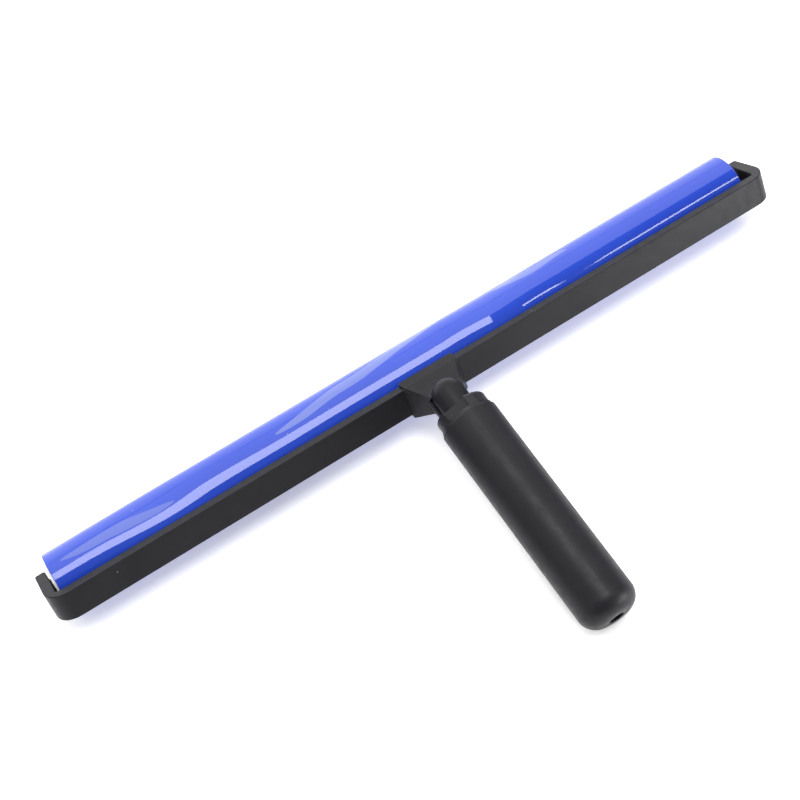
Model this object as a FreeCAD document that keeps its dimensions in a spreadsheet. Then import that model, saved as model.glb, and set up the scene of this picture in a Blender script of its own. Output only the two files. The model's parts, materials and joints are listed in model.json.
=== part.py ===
import FreeCAD, Part

import math
import os
import re

import Sketcher

from FreeCAD import Placement, Rotation, Vector

# Silicone roller applicator with a T-handle, in millimetres.
#
# Two working frames carry the design:
#   head    X along the roller, +Y from the frame's wall towards its arm tips, +Z normal to the
#           U of the frame, with the origin on the roller's axis at mid length
#   handle  X down the handle's axis from the point where it crosses the head's XY plane,
#           +Y on the upper side of the handle
# At rest the tool lies on the roller and on the rounded butt of the grip, so the head is tilted
# about X until both touch the plane Z = 0.

SIZES = {
    # frame
    "frame_length": 478, "frame_height": 17, "rim_width": 6.2, "arm_length": 31.5,
    "arm_flare": 2, "corner_radius": 12, "web_wall": 2.6, "flange_wall": 2.4, "frame_ribs": 12,
    "rib_wall": 2, "inner_round": 1.5, "edge_round": 0.5, "wall_to_axis": 27,
    # roller
    "roller_radius": 18, "roller_face": 457, "roller_shift": -1.8, "sleeve_wall": 5,
    "sleeve_round": 0.4, "tube_wall": 1.5, "plug_flange": 1.5, "plug_depth": 18,
    "plug_shoulder": 7.9,
    # ball bearings, size 626
    "bearing_bore": 6, "bearing_outside": 19, "bearing_width": 6, "bearing_inset": 1,
    "inner_land": 4.9, "outer_land": 7.7, "ball_radius": 1.75, "ball_pitch": 6.25,
    "groove_radius": 1.8, "ball_count": 7, "cage_wall": 0.8, "cage_width": 4.4,
    "shield_wall": 0.3, "shield_inner": 5.1, "shield_outer": 7.95,
    # axle, spacers and axle screws
    "axle_radius": 2.98, "spacer_radius": 4.4, "axle_screw_radius": 1.5,
    "axle_screw_head": 2.9, "axle_screw_length": 16, "axle_screw_key": 1.15, "tap_run": 1,
    # bracket: plate over the frame's rim, block on the wall, neck
    "bracket_front": 17, "plate_rear": 10.3, "plate_wall": 9.1, "plate_front": 4.3,
    "plate_edge": 1.1, "plate_rear_width": 36, "plate_wall_width": 33.6, "plate_front_width": 17.4,
    "plate_corner": 1.2, "block_width": 35.6, "block_bottom": 10.8, "block_front_top": 3.3,
    "block_front_bottom": 5.5, "block_front_width": 17, "waist_reach": 4.1, "waist_lean": 18,
    "waist_top": 7.1, "waist_bottom": 11.2, "waist_top_width": 27.8, "waist_bottom_width": 35.2,
    "neck_radius": 9.4, "neck_start": -14, "neck_round": 9, "neck_blend": 2.5,
    "spigot_radius": 8, "spigot_end": 27, "neck_slot_depth": 5.5, "neck_slot_start": -8.5,
    "neck_slot_end": 3.5, "neck_slot_low": -4.3, "neck_slot_high": -0.3, "flange_thick": 3.2,
    "flange_start": -9, "flange_start_width": 22.6, "flange_end_width": 20.2,
    "screw_spread": 8, "bracket_screw_radius": 2, "bracket_screw_length": 11,
    "bracket_screw_head": 3.6, "bracket_screw_cap": 2.4, "bracket_screw_key": 1.3,
    # handle
    "handle_angle": 36, "handle_offset": -49.7, "collar_start": 5.5, "collar_radius": 15.4,
    "collar_round": 2, "bead_radius": 16, "bead_width": 1.6, "notch_angle": 25,
    "notch_width": 15.6, "notch_round": 2.5,
    "grip_start": 14.6, "grip_end": 147.3, "grip_radius": 16.95, "core_radius": 12.6,
    "core_end": 138.3, "core_bore": 8.2, "core_web": 6, "butt_round": 10, "butt_hole": 4.5,
    "rim_round": 1, "bolt_radius": 2.5, "bolt_length": 20, "bolt_head": 4.25,
    "bolt_cap": 5, "bolt_key": 2.3, "bolt_run": 2, "washer_radius": 5.5, "washer_wall": 1.2,
    "insert_radius": 3.6, "insert_length": 12,
    # gaps
    "bearing_gap": 0.02, "fit_gap": 0.05, "washer_gap": 0.1, "bolt_gap": 0.2,
}

NEAR = 0.1      # how closely an edge's place must match when edges are picked out
TOUCH = 0.02    # how closely a point must lie on a surface to count as on it

doc = FreeCAD.newDocument("roller_applicator")
sheet = doc.addObject("Spreadsheet::Sheet", "Sizes")
for row, (alias, number) in enumerate(SIZES.items(), start=1):
    sheet.set(f"A{row}", alias)
    sheet.set(f"B{row}", str(number))
    sheet.setAlias(f"B{row}", alias)
doc.recompute()

parts = []


def bound(text):
    """The expression with every size name pointed at its cell."""
    return re.sub(r"[a-z]+(?:_[a-z]+)+", lambda word: "Sizes." + word.group(), text)


def size(text):
    """The present value of an expression in size names."""
    return float(sheet.evalExpression(text))


# Shared positions, as expressions in the size names. Head frame first.
ARM_INNER = "(frame_length / 2 - rim_width)"
RIM_INNER = "(rim_width - wall_to_axis)"
ARM_TIP = "(arm_length - wall_to_axis)"
TUBE_RADIUS = "(roller_radius - sleeve_wall)"
PLUG_RADIUS = "(roller_radius - sleeve_wall - tube_wall)"
BEARING_RADIUS = "(bearing_outside / 2)"
# Along the handle's axis.
WEB_START = "(spigot_end + fit_gap)"
WEB_END = "(spigot_end + fit_gap + core_web)"
INSERT_START = "(spigot_end - insert_length)"


# ---------------------------------------------------------------- modelling helpers


def new_body(label):
    body = doc.addObject("PartDesign::Body", label)
    body.Label = label
    body.AllowCompound = True
    return body


def plane(body, role):
    return next(o for o in body.Origin.OriginFeatures if o.Role == role)


def new_sketch(body, role, lift=None, along=None, across=None, turn=None, lean=None):
    """A sketch on one of the body's planes: lifted off it, slid along its x and y, then turned
    about its normal or leant about its x axis."""
    sketch = body.newObject("Sketcher::SketchObject", body.Name + "_sketch")
    sketch.AttachmentSupport = [(plane(body, role), "")]
    sketch.MapMode = "FlatFace"
    if lift:
        sketch.setExpression("AttachmentOffset.Base.z", bound(lift))
    if along:
        sketch.setExpression("AttachmentOffset.Base.x", bound(along))
    if across:
        sketch.setExpression("AttachmentOffset.Base.y", bound(across))
    if lean:
        sketch.AttachmentOffset = Placement(Vector(), Rotation(Vector(1, 0, 0), size(lean)))
    if turn or lean:
        sketch.setExpression("AttachmentOffset.Rotation.Angle", bound(turn or lean))
    return sketch


def pin_point(sketch, geometry, point, x, y):
    """Fixes a point of the sketch at x, y, each an expression in size names."""
    for axis, kind, text in ((-2, "DistanceX", x), (-1, "DistanceY", y)):
        if text == "0":
            sketch.addConstraint(Sketcher.Constraint("PointOnObject", geometry, point, axis))
            continue
        index = sketch.addConstraint(
            Sketcher.Constraint(kind, -1, 1, geometry, point, size(text))
        )
        sketch.setExpression(f"Constraints[{index}]", bound(text))


def draw_polygon(sketch, corners):
    """A closed outline through corners, each a pair of expressions."""
    values = [Vector(size(x), size(y), 0) for x, y in corners]
    first = sketch.GeometryCount
    count = len(corners)
    for i in range(count):
        sketch.addGeometry(Part.LineSegment(values[i], values[(i + 1) % count]), False)
    for i in range(count):
        following = first + (i + 1) % count
        sketch.addConstraint(Sketcher.Constraint("Coincident", first + i, 2, following, 1))
    for i, (x, y) in enumerate(corners):
        pin_point(sketch, first + i, 1, x, y)


def draw_rectangle(sketch, x_low, x_high, y_low, y_high):
    draw_polygon(sketch, [(x_low, y_low), (x_high, y_low), (x_high, y_high), (x_low, y_high)])


def draw_trapezoid(sketch, low_width, y_low, high_width, y_high):
    """A trapezoid about the sketch's y axis."""
    draw_polygon(sketch, [
        (f"-{low_width} / 2", y_low), (f"{low_width} / 2", y_low),
        (f"{high_width} / 2", y_high), (f"-{high_width} / 2", y_high),
    ])


def draw_hexagon(sketch, x, y, radius):
    draw_polygon(sketch, [
        (f"{x} + {radius} * cos({60 * i})", f"{y} + {radius} * sin({60 * i})") for i in range(6)
    ])


def draw_circle(sketch, x, y, radius):
    centre = Vector(size(x), size(y), 0)
    index = sketch.addGeometry(Part.Circle(centre, Vector(0, 0, 1), size(radius)), False)
    pin_point(sketch, index, 3, x, y)
    number = sketch.addConstraint(Sketcher.Constraint("Radius", index, size(radius)))
    sketch.setExpression(f"Constraints[{number}]", bound(radius))


def feature(body, kind, sketch, length=None, **options):
    """Adds a sketch-based feature and checks that it changed the body's volume."""
    before = body.Shape.Volume if body.Tip else 0
    made = body.newObject("PartDesign::" + kind, body.Name + "_" + kind)
    made.Profile = sketch
    for name, setting in options.items():
        setattr(made, name, setting)
    if length:
        made.setExpression("Length", bound(length))
    doc.recompute()
    if abs(body.Shape.Volume - before) < 1e-3:
        raise RuntimeError(f"{made.Name} changed nothing")
    return made


def turned(body, outline, groove=False, **place):
    """A solid of revolution about its sketch's x axis: outline is (along, radius) pairs."""
    sketch = new_sketch(body, place.pop("role", "XY_Plane"), **place)
    draw_polygon(sketch, outline)
    kind = "Groove" if groove else "Revolution"
    return feature(body, kind, sketch, ReferenceAxis=(sketch, ["H_Axis"]), Angle=360)


def round_edges(body, radius, chosen):
    """Rounds the edges of the body for which chosen(edge) is true."""
    edges = [f"Edge{i}" for i, e in enumerate(body.Shape.Edges, start=1) if chosen(e)]
    if not edges:
        raise RuntimeError(f"{body.Name}: no edge to round")
    base = body.Tip
    fillet = body.newObject("PartDesign::Fillet", body.Name + "_Fillet")
    fillet.Base = (base, edges)
    fillet.setExpression("Radius", bound(radius))
    doc.recompute()
    return fillet


def repeat(body, kind, originals, **options):
    """A mirror or pattern of the given features, made the body's last step."""
    made = body.newObject("PartDesign::" + kind, body.Name + "_" + kind)
    made.Originals = originals
    for name, setting in options.items():
        setattr(made, name, setting)
    body.Tip = made
    doc.recompute()
    return made


def keep(part, place, frame):
    """Lists a finished sub-part with its place in the head or handle frame."""
    parts.append((part, place, frame))


def along_x(x, turned_round=False):
    angle = 180 if turned_round else 0
    return Placement(Vector(x, 0, 0), Rotation(Vector(0, 0, 1), angle))


def runs_along(edge, direction):
    ends = edge.Vertexes
    if len(ends) != 2 or edge.Curve.TypeId != "Part::GeomLine":
        return False
    step = ends[1].Point - ends[0].Point
    return abs(abs(step.normalize() * direction) - 1) < 1e-6


def is_circle(edge, radius, x=None):
    """Whether the edge is a whole circle of that radius about the X axis, at x if x is given."""
    box = edge.BoundBox
    if box.XLength > NEAR or abs(box.YLength - 2 * radius) > NEAR:
        return False
    return x is None or abs(box.Center.x - x) < NEAR


def centre_of(edge):
    return edge.BoundBox.Center


# ---------------------------------------------------------------- frame


def make_frame():
    """U-shaped moulding: a ribbed channel behind the roller with a solid arm at each end. The
    right arm thickens towards the wall."""
    body = new_body("frame")
    outline = new_sketch(body, "XY_Plane")
    half = "frame_length / 2"
    draw_polygon(outline, [
        ("-" + half, "-wall_to_axis"), (half + " + arm_flare", "-wall_to_axis"),
        (half, ARM_TIP), (ARM_INNER, ARM_TIP),
        (ARM_INNER, RIM_INNER), ("-" + ARM_INNER, RIM_INNER),
        ("-" + ARM_INNER, ARM_TIP), ("-" + half, ARM_TIP),
    ])
    feature(body, "Pad", outline, "frame_height", Midplane=True)
    outer = size("frame_length / 2")
    back = size("-wall_to_axis")
    round_edges(body, "corner_radius", lambda e: runs_along(e, Vector(0, 0, 1))
                and abs(centre_of(e).x) > outer - NEAR and abs(centre_of(e).y - back) < NEAR)
    round_edges(body, "inner_round", lambda e: runs_along(e, Vector(0, 0, 1)))
    flange = size("frame_height / 2")
    round_edges(body, "edge_round", lambda e: abs(abs(centre_of(e).z) - flange) < NEAR)

    # The channel is moulded from the roller's side as a row of pockets with ribs between them.
    bay = new_sketch(body, "XZ_Plane", lift="-" + RIM_INNER)
    pitch = "2 * " + ARM_INNER + " / frame_ribs"
    tall = "frame_height / 2 - flange_wall"
    draw_rectangle(bay, "-" + ARM_INNER + " + rib_wall / 2",
                   "-" + ARM_INNER + " + " + pitch + " - rib_wall / 2",
                   "-(" + tall + ")", tall)
    pocket = feature(body, "Pocket", bay, "rim_width - web_wall", Reversed=True)
    row = repeat(body, "LinearPattern", [pocket], Direction=(bay, ["H_Axis"]),
                 Occurrences=int(size("frame_ribs")))
    row.setExpression("Occurrences", bound("frame_ribs"))
    row.setExpression("Length", bound("2 * " + ARM_INNER + " - " + pitch))
    doc.recompute()

    # Through holes for the two bracket screws, and a countersunk hole in each arm.
    holes = new_sketch(body, "XZ_Plane", lift="wall_to_axis")
    draw_circle(holes, "screw_spread", "0", "bracket_screw_radius + fit_gap")
    draw_circle(holes, "-screw_spread", "0", "bracket_screw_radius + fit_gap")
    feature(body, "Pocket", holes, "web_wall * 2", Midplane=True)
    for side in ("", "-"):
        countersink = [
            (side + ARM_INNER, "0"), (side + ARM_INNER, "axle_screw_radius + fit_gap"),
            (side + "(frame_length / 2 - axle_screw_head + axle_screw_radius)",
             "axle_screw_radius + fit_gap"),
            (side + "(frame_length / 2)", "axle_screw_head + fit_gap"),
            (side + "(frame_length / 2 + arm_flare)", "axle_screw_head + fit_gap"),
            (side + "(frame_length / 2 + arm_flare)", "0"),
        ]
        turned(body, countersink, groove=True)
    keep(body, Placement(), "head")


# ---------------------------------------------------------------- bracket


def where_dome_meets_plate(edge):
    """Whether an edge lies both in the plate's sloping top and on the domed end of the neck."""
    start = Vector(0, size("handle_offset"), 0)
    line = Vector(0, size("cos(handle_angle)"), size("sin(handle_angle)"))
    slope = size("(plate_wall - plate_front) / bracket_front")
    for point in (edge.valueAt(share) for share in (edge.FirstParameter, edge.LastParameter)):
        height = size("plate_wall") + slope * (point.y + size("wall_to_axis"))
        reach = (point - start).cross(line).Length
        if abs(point.z - height) > TOUCH or reach > size("neck_radius") + TOUCH:
            return False
    return True


def make_bracket():
    """Saddle over the frame's wall, tapering into a round neck with a spigot for the handle."""
    body = new_body("neck_bracket")
    handle_line = dict(role="YZ_Plane", along="handle_offset", turn="180 + handle_angle")

    # The neck starts as a dome above the block and ends in the spigot.
    turned(body, [
        ("neck_start", "0"), ("neck_start", "neck_radius"), ("collar_start", "neck_radius"),
        ("collar_start", "spigot_radius"), ("spigot_end", "spigot_radius"), ("spigot_end", "0"),
    ], **handle_line)
    farthest = max(centre_of(e).y for e in body.Shape.Edges)
    round_edges(body, "neck_round", lambda e: centre_of(e).y > farthest - NEAR)

    # The block narrows from the wall to the neck. Its leaning middle section breaks each side
    # into an upper rear facet and a lower front one.
    wall = new_sketch(body, "XZ_Plane", lift="wall_to_axis")
    draw_trapezoid(wall, "block_width", "-block_bottom", "block_width", "frame_height / 2")
    waist = new_sketch(body, "XZ_Plane", lift="wall_to_axis + waist_reach", lean="waist_lean")
    draw_trapezoid(waist, "waist_bottom_width", "-waist_bottom", "waist_top_width", "waist_top")
    front = new_sketch(body, "XZ_Plane", lift="wall_to_axis + bracket_front")
    draw_trapezoid(front, "block_front_width", "-block_front_bottom",
                   "block_front_width", "block_front_top")
    feature(body, "AdditiveLoft", wall, Sections=[waist, front], Ruled=True)

    # The plate covers the rim and the block; a lip below holds the wall's underside.
    inner = "frame_height / 2"
    levels = [
        ("-" + RIM_INNER, "plate_rear_width", inner, "plate_rear"),
        ("wall_to_axis", "plate_wall_width", inner, "plate_wall"),
        ("wall_to_axis + bracket_front", "plate_front_width",
         "plate_front - plate_edge", "plate_front"),
    ]
    sections = []
    for reach, width, low, high in levels:
        section = new_sketch(body, "XZ_Plane", lift=reach)
        draw_trapezoid(section, width, low, width, high)
        sections.append(section)
    feature(body, "AdditiveLoft", sections[0], Sections=sections[1:], Ruled=True)
    lip = new_sketch(body, "YZ_Plane")
    draw_rectangle(lip, "-wall_to_axis", RIM_INNER, "-block_bottom", "-" + inner)
    feature(body, "Pad", lip, "block_width", Midplane=True)
    rear = size(RIM_INNER)
    round_edges(body, "plate_corner", lambda e: runs_along(e, Vector(0, 0, 1))
                and abs(centre_of(e).y - rear) < NEAR)

    round_edges(body, "neck_blend", where_dome_meets_plate)

    # A moulded slot hollows each side of the neck, over a flange a little wider than the neck.
    flange = new_sketch(body, "XY_Plane", lift="neck_slot_low * cos(handle_angle)",
                        across="handle_offset - neck_slot_low * sin(handle_angle)",
                        lean="handle_angle")
    draw_trapezoid(flange, "flange_end_width", "-collar_start",
                   "flange_start_width", "-flange_start")
    feature(body, "Pad", flange, "flange_thick", Reversed=True)
    for side in ("", "-"):
        slot = new_sketch(body, lift=side + "(neck_radius - neck_slot_depth)", **handle_line)
        draw_rectangle(slot, "neck_slot_start", "neck_slot_end", "-neck_slot_high", "-neck_slot_low")
        feature(body, "Pocket", slot, "neck_radius", Reversed=(side == ""))

    # Pilot holes for the bracket screws, then the seat of the threaded insert.
    pilots = new_sketch(body, "XZ_Plane", lift="wall_to_axis")
    for side in ("", "-"):
        draw_circle(pilots, side + "screw_spread", "0", "bracket_screw_radius + bearing_gap")
    feature(body, "Pocket", pilots, "bracket_screw_length", Reversed=True)
    turned(body, [
        (INSERT_START + " - bolt_run", "0"),
        (INSERT_START + " - bolt_run", "bolt_radius + fit_gap"),
        (INSERT_START, "bolt_radius + fit_gap"), (INSERT_START, "insert_radius + bearing_gap"),
        ("spigot_end", "insert_radius + bearing_gap"), ("spigot_end", "0"),
    ], groove=True, **handle_line)
    keep(body, Placement(), "head")


def make_bracket_screws():
    """Two pan-head screws that hold the bracket from inside the channel."""
    body = new_body("bracket_screws")
    screw = turned(body, [
        ("-bracket_screw_cap", "0"), ("-bracket_screw_cap", "bracket_screw_head"),
        ("0", "bracket_screw_head"), ("0", "bracket_screw_radius"),
        ("bracket_screw_length", "bracket_screw_radius"), ("bracket_screw_length", "0"),
    ], across="screw_spread")
    driver = new_sketch(body, "YZ_Plane", lift="-bracket_screw_cap")
    draw_hexagon(driver, "screw_spread", "0", "bracket_screw_key")
    recess = feature(body, "Pocket", driver, "bracket_screw_cap / 2", Reversed=True)
    repeat(body, "Mirrored", [screw, recess], MirrorPlane=(plane(body, "XZ_Plane"), [""]))
    place = Placement(Vector(0, size("web_wall - wall_to_axis"), 0),
                      Rotation(Vector(0, 0, 1), -90))
    keep(body, place, "head")


# ---------------------------------------------------------------- handle


def make_handle_core():
    """Hollow moulded core with a collar in front of the grip and a web that takes the bolt."""
    body = new_body("handle_core")
    turned(body, [
        ("collar_start", "spigot_radius + fit_gap"), ("collar_start", "collar_radius"),
        ("grip_start - bead_width", "collar_radius"),
        ("grip_start - bead_width", "bead_radius"), ("grip_start", "bead_radius"),
        ("grip_start", "core_radius"), ("core_end", "core_radius"), ("core_end", "core_bore"),
        (WEB_END, "core_bore"), (WEB_END, "bolt_radius + bolt_gap"),
        (WEB_START, "bolt_radius + bolt_gap"), (WEB_START, "spigot_radius + fit_gap"),
    ])
    round_edges(body, "collar_round",
                lambda e: is_circle(e, size("collar_radius"), size("collar_start")))

    # A notch across the collar's upper side, its floor level with the top of the neck.
    notch = new_sketch(body, "YZ_Plane", lift="collar_start", turn="notch_angle")
    draw_rectangle(notch, "neck_radius", "grip_radius", "-notch_width / 2", "notch_width / 2")
    feature(body, "Pocket", notch, "grip_start - bead_width - collar_start", Reversed=True)
    end = size("grip_start - bead_width")
    width = size("notch_width")
    round_edges(body, "notch_round", lambda e: abs(centre_of(e).x - end) < NEAR
                and e.BoundBox.XLength < NEAR and abs(e.Length - width) < NEAR)
    keep(body, Placement(), "handle")


def make_grip():
    """Grip sleeve with a rounded butt, pierced by the hanging hole."""
    body = new_body("grip_sleeve")
    inside = "core_radius + fit_gap"
    turned(body, [
        ("grip_start", inside), ("grip_start", "grip_radius"), ("grip_end", "grip_radius"),
        ("grip_end", "butt_hole"), ("core_end + fit_gap", "butt_hole"),
        ("core_end + fit_gap", inside),
    ])
    for end, rounding in (("grip_end", "butt_round"), ("grip_start", "rim_round")):
        round_edges(body, rounding, lambda e: is_circle(e, size("grip_radius"), size(end)))
    keep(body, Placement(), "handle")


def make_handle_bolt():
    """Socket-head bolt through the core's web, its washer, and the brass insert it screws into."""
    under_head = "(" + WEB_END + " + washer_wall)"
    head_end = "(" + under_head + " + bolt_cap)"
    bolt = new_body("handle_bolt")
    turned(bolt, [
        (under_head + " - bolt_length", "0"), (under_head + " - bolt_length", "bolt_radius"),
        (under_head, "bolt_radius"), (under_head, "bolt_head"), (head_end, "bolt_head"),
        (head_end, "0"),
    ])
    socket = new_sketch(bolt, "YZ_Plane", lift=head_end)
    draw_hexagon(socket, "0", "0", "bolt_key")
    feature(bolt, "Pocket", socket, "bolt_cap / 2")
    keep(bolt, Placement(), "handle")

    washer = new_body("handle_washer")
    turned(washer, [
        (WEB_END, "bolt_radius + washer_gap"), (WEB_END, "washer_radius"),
        (under_head, "washer_radius"), (under_head, "bolt_radius + washer_gap"),
    ])
    keep(washer, Placement(), "handle")

    insert = new_body("neck_insert")
    turned(insert, [
        (INSERT_START, "bolt_radius + bearing_gap"), (INSERT_START, "insert_radius"),
        ("spigot_end", "insert_radius"), ("spigot_end", "bolt_radius + bearing_gap"),
    ])
    keep(insert, Placement(), "handle")


# ---------------------------------------------------------------- roller


def make_roller():
    """Silicone sleeve on a thin tube, closed by a flanged plug at each end."""
    half = "roller_face / 2"
    centre = along_x(size("roller_shift"))
    for label, inner, outer in (("roller_sleeve", TUBE_RADIUS, "roller_radius"),
                                ("roller_core_tube", PLUG_RADIUS, TUBE_RADIUS)):
        body = new_body(label)
        turned(body, [("-" + half, inner), ("-" + half, outer), (half, outer), (half, inner)])
        if label == "roller_sleeve":
            round_edges(body, "sleeve_round", lambda e: is_circle(e, size("roller_radius")))
        keep(body, centre, "head")
    for label, side in (("left", -1), ("right", 1)):
        body = new_body("end_plug_" + label)
        seat = "plug_flange - bearing_inset - bearing_width"
        turned(body, [
            ("-plug_depth", "plug_shoulder"), ("-plug_depth", PLUG_RADIUS), ("0", PLUG_RADIUS),
            ("0", TUBE_RADIUS), ("plug_flange", TUBE_RADIUS), ("plug_flange", BEARING_RADIUS),
            (seat, BEARING_RADIUS), (seat, "plug_shoulder"),
        ])
        place = along_x(size("roller_shift") + side * size(half), side < 0)
        keep(body, place, "head")


def make_bearing(label, place):
    """Shielded ball bearing about the local origin, with its axis along X."""
    half = "bearing_width / 2"
    recess = "(bearing_width / 2 - shield_wall - fit_gap)"
    outer = new_body("bearing_outer_ring_" + label)
    turned(outer, [
        ("-" + half, "shield_outer"), ("-" + half, BEARING_RADIUS), (half, BEARING_RADIUS),
        (half, "shield_outer"), (recess, "shield_outer"), (recess, "outer_land"),
        ("-" + recess, "outer_land"), ("-" + recess, "shield_outer"),
    ])
    inner = new_body("bearing_inner_ring_" + label)
    turned(inner, [
        ("-" + half, "bearing_bore / 2"), ("-" + half, "inner_land"), (half, "inner_land"),
        (half, "bearing_bore / 2"),
    ])
    for ring in (outer, inner):
        track = new_sketch(ring, "XY_Plane")
        draw_circle(track, "0", "ball_pitch", "groove_radius")
        feature(ring, "Groove", track, ReferenceAxis=(track, ["H_Axis"]), Angle=360)

    cage = new_body("bearing_cage_" + label)
    turned(cage, [
        ("-cage_width / 2", "ball_pitch - cage_wall / 2"),
        ("-cage_width / 2", "ball_pitch + cage_wall / 2"),
        ("cage_width / 2", "ball_pitch + cage_wall / 2"),
        ("cage_width / 2", "ball_pitch - cage_wall / 2"),
    ])
    window = new_sketch(cage, "XY_Plane")
    draw_circle(window, "0", "0", "groove_radius")
    opening = feature(cage, "Pocket", window, "bearing_outside", Reversed=True)
    ring_of = repeat(cage, "PolarPattern", [opening], Axis=(plane(cage, "X_Axis"), [""]),
                     Angle=360, Occurrences=int(size("ball_count")))
    ring_of.setExpression("Occurrences", bound("ball_count"))

    balls = []
    for i in range(int(size("ball_count"))):
        ball = doc.addObject("Part::Sphere", f"ball_{label}_{i + 1}")
        ball.setExpression("Radius", bound("ball_radius"))
        angle = f"(90 + {i} * 360 / ball_count)"
        ball.setExpression("Placement.Base.y", bound("ball_pitch * cos" + angle))
        ball.setExpression("Placement.Base.z", bound("ball_pitch * sin" + angle))
        balls.append(ball)
    ball_set = doc.addObject("Part::Compound", "bearing_balls_" + label)
    ball_set.Label = "bearing_balls_" + label
    ball_set.Links = balls

    shields = new_body("bearing_shields_" + label)
    shield = turned(shields, [
        (recess, "shield_inner"), (recess, "shield_outer - bearing_gap"),
        (recess + " + shield_wall", "shield_outer - bearing_gap"),
        (recess + " + shield_wall", "shield_inner"),
    ])
    repeat(shields, "Mirrored", [shield], MirrorPlane=(plane(shields, "YZ_Plane"), [""]))
    for part in (outer, inner, cage, ball_set, shields):
        keep(part, place, "head")


def make_axle():
    """Fixed axle between the arms, tapped at both ends, with its two countersunk screws."""
    axle = new_body("axle")
    turned(axle, [
        ("-" + ARM_INNER, "0"), ("-" + ARM_INNER, "axle_radius"), (ARM_INNER, "axle_radius"),
        (ARM_INNER, "0"),
    ])
    tip = "(frame_length / 2 - axle_screw_length)"
    for side in ("", "-"):
        turned(axle, [
            (side + ARM_INNER, "0"), (side + ARM_INNER, "axle_screw_radius + bearing_gap"),
            (side + "(" + tip + " - tap_run)", "axle_screw_radius + bearing_gap"),
            (side + "(" + tip + " - tap_run)", "0"),
        ], groove=True)
    keep(axle, Placement(), "head")

    body = new_body("axle_screws")
    screw = turned(body, [
        (tip, "0"), (tip, "axle_screw_radius"),
        ("frame_length / 2 - axle_screw_head + axle_screw_radius", "axle_screw_radius"),
        ("frame_length / 2", "axle_screw_head"), ("frame_length / 2", "0"),
    ])
    driver = new_sketch(body, "YZ_Plane", lift="frame_length / 2")
    draw_hexagon(driver, "0", "0", "axle_screw_key")
    recess = feature(body, "Pocket", driver, "axle_screw_head / 2")
    repeat(body, "Mirrored", [screw, recess], MirrorPlane=(plane(body, "YZ_Plane"), [""]))
    keep(body, Placement(), "head")


def make_roller_ends():
    """At each end a bearing in its plug, and the spacer that holds its inner ring off the arm."""
    face = "(roller_face / 2 + plug_flange - bearing_inset)"
    for label, side in (("left", -1), ("right", 1)):
        sign = "-" if side < 0 else "+"
        ring_face = size(face) + side * size("roller_shift")
        make_bearing(label, along_x(side * (ring_face - size("bearing_width / 2")), side < 0))
        body = new_body("spacer_" + label)
        start = f"({face} {sign} roller_shift)"
        turned(body, [
            (start, "axle_radius + fit_gap"), (start, "spacer_radius"),
            (ARM_INNER, "spacer_radius"), (ARM_INNER, "axle_radius + fit_gap"),
        ])
        keep(body, along_x(0, side < 0), "head")


# ---------------------------------------------------------------- assembly


def head_tilt():
    """Angle that brings the roller and the rounded butt of the grip onto one plane, in degrees."""
    angle = math.radians(size("handle_angle"))
    reach = size("grip_end - butt_round")
    drop = size("grip_radius - butt_round")
    back = -size("handle_offset") + reach * math.cos(angle) - drop * math.sin(angle)
    down = reach * math.sin(angle) + drop * math.cos(angle)
    fall = math.asin(size("roller_radius - butt_round") / math.hypot(back, down))
    return math.degrees(math.atan2(down, back) - fall)


def place_parts():
    """Lays the tool down on the roller and the butt, centred over the origin."""
    tilt = Rotation(Vector(1, 0, 0), -head_tilt())
    head = Placement(Vector(0, 0, size("roller_radius")), tilt)
    angle = math.radians(size("handle_angle"))
    down_handle = Vector(0, -math.cos(angle), -math.sin(angle))
    up_side = Vector(0, -math.sin(angle), math.cos(angle))
    lean = Rotation(down_handle, up_side, down_handle.cross(up_side), "XYZ")
    handle = head * Placement(Vector(0, size("handle_offset"), 0), lean)
    frames = {"head": head, "handle": handle}
    for part, place, frame in parts:
        part.Placement = frames[frame] * place
    doc.recompute()
    box = Part.makeCompound([part.Shape for part, _, _ in parts]).optimalBoundingBox(False)
    centring = Placement(-Vector(box.XMin + box.XMax, box.YMin + box.YMax, 0) / 2, Rotation())
    for part, _, _ in parts:
        part.Placement = centring * part.Placement
    doc.recompute()
    return centring * head, centring * handle


make_frame()
make_bracket()
make_bracket_screws()
make_handle_core()
make_grip()
make_handle_bolt()
make_roller()
make_roller_ends()
make_axle()
head_frame, handle_frame = place_parts()

for item in doc.Objects:
    if {"Invalid", "Error"} & set(item.State):
        raise RuntimeError(f"{item.Label} failed: {item.State}")
for part, _, _ in parts:
    if part.Shape.isNull() or not part.Shape.isValid():
        raise RuntimeError(f"{part.Label} has no valid shape")

os.makedirs("parts", exist_ok=True)
for part, _, _ in parts:
    part.Shape.exportStep(f"parts/{part.Label}.step")
    print(f"{part.Label}: {len(part.Shape.Solids)} solid(s), {part.Shape.Volume:.0f} mm3")
for name, point in (("roller axis", head_frame.Base),
                    ("butt hole mouth", handle_frame * Vector(size("grip_end"), 0, 0))):
    print(f"{name}: {point.x:.3f} {point.y:.3f} {point.z:.3f}")
down = handle_frame.Rotation * Vector(1, 0, 0)
print(f"handle direction: {down.x:.6f} {down.y:.6f} {down.z:.6f}; head tilt {head_tilt():.3f}")
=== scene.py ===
import json
import math

import bpy
from mathutils import Matrix, Vector

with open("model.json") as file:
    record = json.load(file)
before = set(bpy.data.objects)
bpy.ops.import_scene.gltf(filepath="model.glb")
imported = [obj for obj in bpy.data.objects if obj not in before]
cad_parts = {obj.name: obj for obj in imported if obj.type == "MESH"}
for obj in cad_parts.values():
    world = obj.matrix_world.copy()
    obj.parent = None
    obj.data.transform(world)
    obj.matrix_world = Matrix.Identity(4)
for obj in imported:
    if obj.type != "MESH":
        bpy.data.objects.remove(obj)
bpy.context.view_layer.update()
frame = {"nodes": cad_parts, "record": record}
NODES = frame["nodes"]

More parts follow.
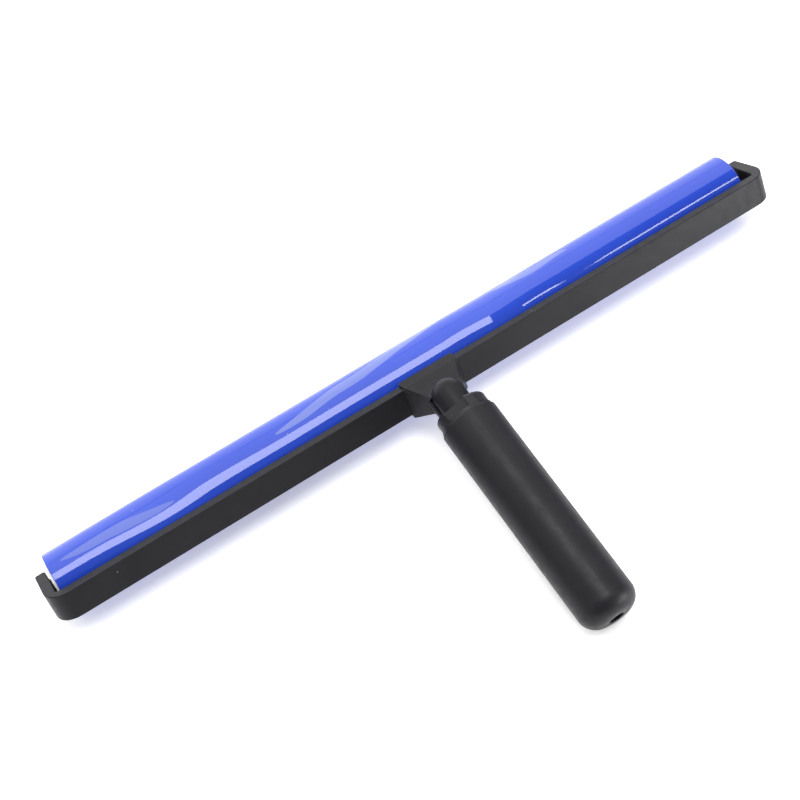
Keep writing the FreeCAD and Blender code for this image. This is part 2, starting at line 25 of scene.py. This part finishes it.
MM = 0.001
JOINTS = frame["record"]["behaviour"]["joints"]
ROLLER_AXIS = Vector(next(joint["pos_m"] for joint in JOINTS if joint["name"] == "roller_spin"))

# ---------------------------------------------------------------- camera, light and floor

CAMERA_TARGET = ROLLER_AXIS + Vector((-17.5, -12.3, 0)) * MM
CAMERA_DISTANCE = 842.4 * MM
CAMERA_AZIMUTH = math.radians(-22.75)      # from -Y, towards +X
CAMERA_ELEVATION = math.radians(55.69)
CAMERA_ROLL = math.radians(-11.97)
CAMERA_LENS = 67.0                         # millimetres, on the sensor below
CAMERA_SENSOR = 36.0
CAMERA_CLIP = (0.01, 50)

# Soft boxes round the roller's axis. Each row: name, centre and the point it faces, both from
# that axis in metres, then width and depth in metres, and radiance.
SOFT_BOXES = [
    ("overhead_box", (0.06, -0.27, 1.3), (0.06, -0.27, 0), 0.72, 0.64, 9.0),
    ("canopy", (0.4, 0.78, 1.32), (0.4, 0.78, 0), 4.8, 1.46, 1.95),
    ("back_wall", (0.4, 1.6, 0.68), (0.4, 0, 0.68), 4.8, 1.3, 2.0),
    ("right_strip", (1.15, -0.88, 1.3), (1.15, -0.88, 0), 0.8, 0.17, 12.0),
    ("right_front_box", (1.05, -1.25, 0.16), (0.2, 0, 0), 0.7, 0.36, 24.0),
    ("left_wall", (-1.7, -0.4, 0.8), (0, -0.1, 0), 1.6, 1.2, 0.9),
]
WORLD_STRENGTH = 0.28

FLOOR_HALF = 3.0                           # metres from the middle to each side
FLOOR_GLOW = 0.3                           # keeps the paper white in the roller's shadow


def add_camera():
    flat = math.cos(CAMERA_ELEVATION)
    away = Vector((math.sin(CAMERA_AZIMUTH) * flat, -math.cos(CAMERA_AZIMUTH) * flat,
                   math.sin(CAMERA_ELEVATION)))
    level = Vector((0, 0, 1)).cross(away).normalized()
    upright = away.cross(level)
    right = level * math.cos(CAMERA_ROLL) + upright * math.sin(CAMERA_ROLL)
    above = away.cross(right)
    data = bpy.data.cameras.new("camera")
    data.lens = CAMERA_LENS
    data.sensor_width = CAMERA_SENSOR
    data.clip_start, data.clip_end = CAMERA_CLIP
    camera = bpy.data.objects.new("camera", data)
    bpy.context.scene.collection.objects.link(camera)
    turn = Matrix((right, above, away)).transposed().to_4x4()
    camera.matrix_world = Matrix.Translation(CAMERA_TARGET + away * CAMERA_DISTANCE) @ turn
    bpy.context.scene.camera = camera


def add_soft_box(name, centre, facing, width, depth, radiance):
    data = bpy.data.lights.new(name, "AREA")
    data.shape = "RECTANGLE"
    data.size = width
    data.size_y = depth
    data.energy = math.pi * width * depth * radiance
    light = bpy.data.objects.new(name, data)
    bpy.context.scene.collection.objects.link(light)
    aim = (Vector(facing) - Vector(centre)).to_track_quat("-Z", "Y").to_matrix().to_4x4()
    light.matrix_world = Matrix.Translation(ROLLER_AXIS + Vector(centre)) @ aim


def add_world():
    world = bpy.data.worlds.new("studio")
    world.use_nodes = True
    background = world.node_tree.nodes["Background"]
    background.inputs["Color"].default_value = (1, 1, 1, 1)
    background.inputs["Strength"].default_value = WORLD_STRENGTH
    bpy.context.scene.world = world


def add_floor():
    signs = [(-1, -1), (1, -1), (1, 1), (-1, 1)]
    corners = [(x * FLOOR_HALF, y * FLOOR_HALF, 0) for x, y in signs]
    mesh = bpy.data.meshes.new("floor")
    mesh.from_pydata(corners, [], [(0, 1, 2, 3)])
    floor = bpy.data.objects.new("floor", mesh)
    bpy.context.scene.collection.objects.link(floor)
    paper = Shader("floor_paper", (0.9, 0.9, 0.9), 0.8)
    mottle = paper.spread(paper.noise(6.0), 0.0, 1.0)
    paper.set("Base Color", paper.mix(mottle, (0.93, 0.93, 0.93), (0.95, 0.95, 0.95)))
    paper.surface.inputs["Emission Color"].default_value = (1, 1, 1, 1)
    paper.surface.inputs["Emission Strength"].default_value = FLOOR_GLOW
    mesh.materials.append(paper.material)


# ---------------------------------------------------------------- materials

# Texture scales are in features per metre.
DUST = (0.42, 0.42, 0.40)
DUST_SCALE = 80.0
DUST_STRENGTH = 0.6
DUST_EDGE = (0.012, 0.03)                  # where a speck starts and stops fading, in cells

FLOW_SCALE = 60.0                          # moulded plastic: flow marks, sheen and sink marks
SHEEN_SCALE = 220.0
SHEEN_RANGE = 0.06
SINK_SCALE = 90.0
SINK_DEPTH = 0.3 * MM
GRAIN_DEPTH = 0.12 * MM

POLISH_SCALE = 300.0                       # machined metal: polish and turning marks
POLISH_RANGE = (-0.05, 0.1)
MARK_SCALE = 900.0
MARK_DEPTH = 0.05 * MM

SILICONE_DEEP = (0.012, 0.042, 0.38)
SILICONE_LIGHT = (0.015, 0.050, 0.41)
SILICONE_CLOUD_SCALE = 9.0
SKIN_ROUGHNESS = (0.03, 0.07)
SKIN_POLISH_SCALE = 30.0
LEAF_COLOUR = (0.10, 0.135, 0.41)

# Cloudy leaves on the silicone. Each row: where it starts and ends along the roller in metres,
# its middle angle at the start and the end, its greatest half width, and strength. Angles are
# in degrees, from the roller's top towards its back.
LEAVES = [
    (-0.223, -0.155, 0, -12, 9, 0.7),
    (-0.090, 0.026, -4, 40, 13, 1.0),
    (0.062, 0.114, 28, 22, 9, 0.9),
]
LEAF_WOBBLE = 0.35                         # radians, from one side of the edge to the other
LEAF_WOBBLE_SCALE = 26.0
LEAF_EDGE = 0.03                           # radians over which a leaf fades in

# Waves in the skin: strong near the left end, fading to faint, with one strong group a little
# right of the middle. Places are metres along the roller.
WAVE_HEIGHT = 9 * MM
WAVE_SCALE = 16.0
WAVE_STRETCH = (0.5, 1, 1)
WAVE_FAINT = 0.12
WAVE_LEFT_FADE = (-0.15, -0.06)
WAVE_MIDDLE = 0.06
WAVE_MIDDLE_FADE = (0.01, 0.04)

# Each row: material slot, colour, roughness, grain per metre and, where it isn't 0.5, specular.
PLASTICS = [
    ("frame_plastic", (0.006, 0.006, 0.008), 0.40, 2600.0, 0.17),
    ("handle_plastic", (0.008, 0.008, 0.010), 0.35, 2600.0, 0.25),
    ("grip_plastic", (0.006, 0.006, 0.008), 0.45, 2000.0, 0.19),
    ("white_nylon", (0.78, 0.77, 0.72), 0.45, 1500.0),
    ("spacer_plastic", (0.03, 0.03, 0.033), 0.45, 1500.0),
]

# Each row: material slot, colour, roughness and, where the marks run along a part, their stretch.
ALONG = (0.05, 1, 1)
METALS = [
    ("aluminium_tube", (0.75, 0.76, 0.78), 0.3, ALONG),
    ("steel_rod", (0.6, 0.6, 0.61), 0.25, ALONG),
    ("plated_screws", (0.66, 0.66, 0.64), 0.28),
    ("black_steel", (0.05, 0.05, 0.055), 0.35),
    ("brass_insert", (0.72, 0.55, 0.25), 0.3),
    ("bearing_steel", (0.72, 0.73, 0.75), 0.15, ALONG),
]


class Shader:
    """A Principled material with short calls for the procedural nodes used here."""

    def __init__(self, name, colour, roughness, metallic=0.0, specular=0.5):
        self.material = bpy.data.materials.new(name)
        self.material.use_nodes = True
        self.tree = self.material.node_tree
        self.surface = self.tree.nodes["Principled BSDF"]
        self.surface.inputs["Base Color"].default_value = (*colour, 1)
        self.surface.inputs["Roughness"].default_value = roughness
        self.surface.inputs["Metallic"].default_value = metallic
        self.surface.inputs["Specular IOR Level"].default_value = specular
        self.place = self.tree.nodes.new("ShaderNodeTexCoord").outputs["Object"]

    def node(self, kind, **settings):
        made = self.tree.nodes.new("ShaderNode" + kind)
        for name, value in settings.items():
            setattr(made, name, value)
        return made

    def link(self, output, target):
        self.tree.links.new(output, target)

    def noise(self, scale, detail=3.0, stretch=None):
        made = self.node("TexNoise")
        made.inputs["Scale"].default_value = scale
        made.inputs["Detail"].default_value = detail
        self.link(self.mapped(stretch) if stretch else self.place, made.inputs["Vector"])
        return made.outputs["Fac"]

    def mapped(self, stretch):
        made = self.node("Mapping")
        made.inputs["Scale"].default_value = stretch
        self.link(self.place, made.inputs["Vector"])
        return made.outputs["Vector"]

    def spread(self, value, low, high, start=0.3, end=0.7):
        """Maps a value between start and end, by default a noise's range, onto low to high."""
        made = self.node("MapRange")
        limits = {"From Min": start, "From Max": end, "To Min": low, "To Max": high}
        for name, number in limits.items():
            made.inputs[name].default_value = number
        self.link(value, made.inputs["Value"])
        return made.outputs["Result"]

    def mix(self, factor, first, second):
        """Mixes two colours; the first may be a colour or an output."""
        made = self.node("Mix", data_type="RGBA")
        factor_socket, first_socket, second_socket = (made.inputs[i] for i in (0, 6, 7))
        self.link(factor, factor_socket)
        if isinstance(first, tuple):
            first_socket.default_value = (*first, 1)
        else:
            self.link(first, first_socket)
        second_socket.default_value = (*second, 1)
        return made.outputs[2]

    def bump(self, height, strength, distance, after=None):
        made = self.node("Bump")
        made.inputs["Strength"].default_value = strength
        made.inputs["Distance"].default_value = distance
        self.link(height, made.inputs["Height"])
        if after:
            self.link(after, made.inputs["Normal"])
        return made.outputs["Normal"]

    def math(self, operation, first, second=0.0):
        made = self.node("Math", operation=operation)
        for socket, value in zip(made.inputs, (first, second)):
            if isinstance(value, float):
                socket.default_value = value
            else:
                self.link(value, socket)
        return made.outputs[0]

    def specks(self):
        """A mask of scattered specks of dust, each a fraction of a millimetre across."""
        cells = self.node("TexVoronoi")
        cells.inputs["Scale"].default_value = DUST_SCALE
        self.link(self.place, cells.inputs["Vector"])
        start, end = DUST_EDGE
        return self.spread(cells.outputs["Distance"], DUST_STRENGTH, 0.0, start, end)

    def set(self, name, output):
        self.link(output, self.surface.inputs[name])


def moulded_plastic(name, colour, roughness, grain, specular=0.5):
    """Moulded plastic: a fine spark-eroded grain, faint flow marks, handling sheen and dust."""
    shader = Shader(name, colour, roughness, specular=specular)
    lighter = tuple(min(1.0, channel * 1.3 + 0.001) for channel in colour)
    flow_marks = shader.spread(shader.noise(FLOW_SCALE, detail=4.0), 0.0, 1.0)
    plain = shader.mix(flow_marks, colour, lighter)
    shader.set("Base Color", shader.mix(shader.specks(), plain, DUST))
    sheen = shader.noise(SHEEN_SCALE)
    bright, dull = roughness - SHEEN_RANGE, roughness + SHEEN_RANGE
    shader.set("Roughness", shader.spread(sheen, bright, dull))
    fine = shader.bump(shader.noise(grain, detail=2.0), strength=0.25, distance=GRAIN_DEPTH)
    sinks = shader.noise(SINK_SCALE)
    shader.set("Normal", shader.bump(sinks, strength=0.12, distance=SINK_DEPTH, after=fine))
    return shader.material


def roller_axes(shader):
    """The place on the roller from the middle of its axis: along it, behind it and above it."""
    middle = NODES["roller_sleeve"].matrix_world.inverted() @ ROLLER_AXIS
    place = shader.node("VectorMath", operation="SUBTRACT")
    shader.link(shader.place, place.inputs[0])
    place.inputs[1].default_value = middle
    axes = shader.node("SeparateXYZ")
    shader.link(place.outputs["Vector"], axes.inputs["Vector"])
    return [axes.outputs[axis] for axis in "XYZ"]


def skin_leaves(shader, along, back, up):
    """A mask of the cloudy leaves where the skin has lifted."""
    wobble = shader.math("SUBTRACT", shader.noise(LEAF_WOBBLE_SCALE, detail=1.0), 0.5)
    angle = shader.math("ADD", shader.math("ARCTAN2", back, up),
                        shader.math("MULTIPLY", wobble, LEAF_WOBBLE))
    mask = 0.0
    for start, end, low, high, half_width, strength in LEAVES:
        share = shader.spread(along, 0.0, 1.0, start, end)
        middle = shader.spread(share, math.radians(low), math.radians(high), 0.0, 1.0)
        # The square root draws half an ellipse, 0.5 high in the middle of the leaf.
        taper = shader.math("MULTIPLY", share, shader.math("SUBTRACT", 1.0, share))
        reach = shader.math("MULTIPLY", shader.math("SQRT", taper), 2 * math.radians(half_width))
        off = shader.math("ABSOLUTE", shader.math("SUBTRACT", angle, middle))
        inside = shader.math("SUBTRACT", reach, off)
        leaf = shader.spread(inside, 0.0, strength, 0.0, LEAF_EDGE)
        mask = shader.math("MAXIMUM", leaf, mask)
    return mask


def skin_waves(shader, along):
    """The height of the waves, as a share of WAVE_HEIGHT."""
    left = shader.spread(along, 1.0, WAVE_FAINT, *WAVE_LEFT_FADE)
    from_middle = shader.math("ABSOLUTE", shader.math("SUBTRACT", along, WAVE_MIDDLE))
    middle = shader.spread(from_middle, 1.0, 0.0, *WAVE_MIDDLE_FADE)
    noise = shader.noise(WAVE_SCALE, detail=1.0, stretch=WAVE_STRETCH)
    ripple = shader.math("SUBTRACT", 0.5, noise)
    # The middle group swings the other way from the left ones, so it counts as negative.
    return shader.math("MULTIPLY", ripple, shader.math("SUBTRACT", left, middle))


def blue_silicone():
    """Glossy cast silicone under a thin clear skin: mirror smooth, with shallow waves that bend
    its reflections and cloudy leaves where the skin has lifted."""
    shader = Shader("blue_silicone", SILICONE_DEEP, sum(SKIN_ROUGHNESS) / 2)
    along, back, up = roller_axes(shader)
    depth = shader.spread(shader.noise(SILICONE_CLOUD_SCALE), 0.0, 1.0)
    base = shader.mix(depth, SILICONE_DEEP, SILICONE_LIGHT)
    cloudy = shader.mix(skin_leaves(shader, along, back, up), base, LEAF_COLOUR)
    shader.set("Base Color", shader.mix(shader.specks(), cloudy, DUST))
    shader.set("Roughness", shader.spread(shader.noise(SKIN_POLISH_SCALE), *SKIN_ROUGHNESS))
    waves = skin_waves(shader, along)
    shader.set("Normal", shader.bump(waves, strength=1.0, distance=WAVE_HEIGHT))
    return shader.material


def plain_metal(name, colour, roughness, stretch=(1, 1, 1)):
    """Machined metal with fine turning marks and uneven polish."""
    shader = Shader(name, colour, roughness, metallic=1.0)
    polish = shader.noise(POLISH_SCALE, stretch=stretch)
    bright, dull = (roughness + change for change in POLISH_RANGE)
    shader.set("Roughness", shader.spread(polish, bright, dull))
    marks = shader.noise(MARK_SCALE, stretch=stretch)
    shader.set("Normal", shader.bump(marks, strength=0.1, distance=MARK_DEPTH))
    return shader.material


def dress_nodes():
    materials = {"blue_silicone": blue_silicone()}
    for row in PLASTICS:
        materials[row[0]] = moulded_plastic(*row)
    for row in METALS:
        materials[row[0]] = plain_metal(*row)
    for part in frame["record"]["subparts"]:
        mesh = NODES[part["node"]].data
        mesh.materials.clear()
        mesh.materials.append(materials[part["material_slot"]])


# ---------------------------------------------------------------- assembly

add_camera()
bpy.context.scene.view_settings.view_transform = "Standard"
add_world()
add_floor()
for box in SOFT_BOXES:
    add_soft_box(*box)
dress_nodes()
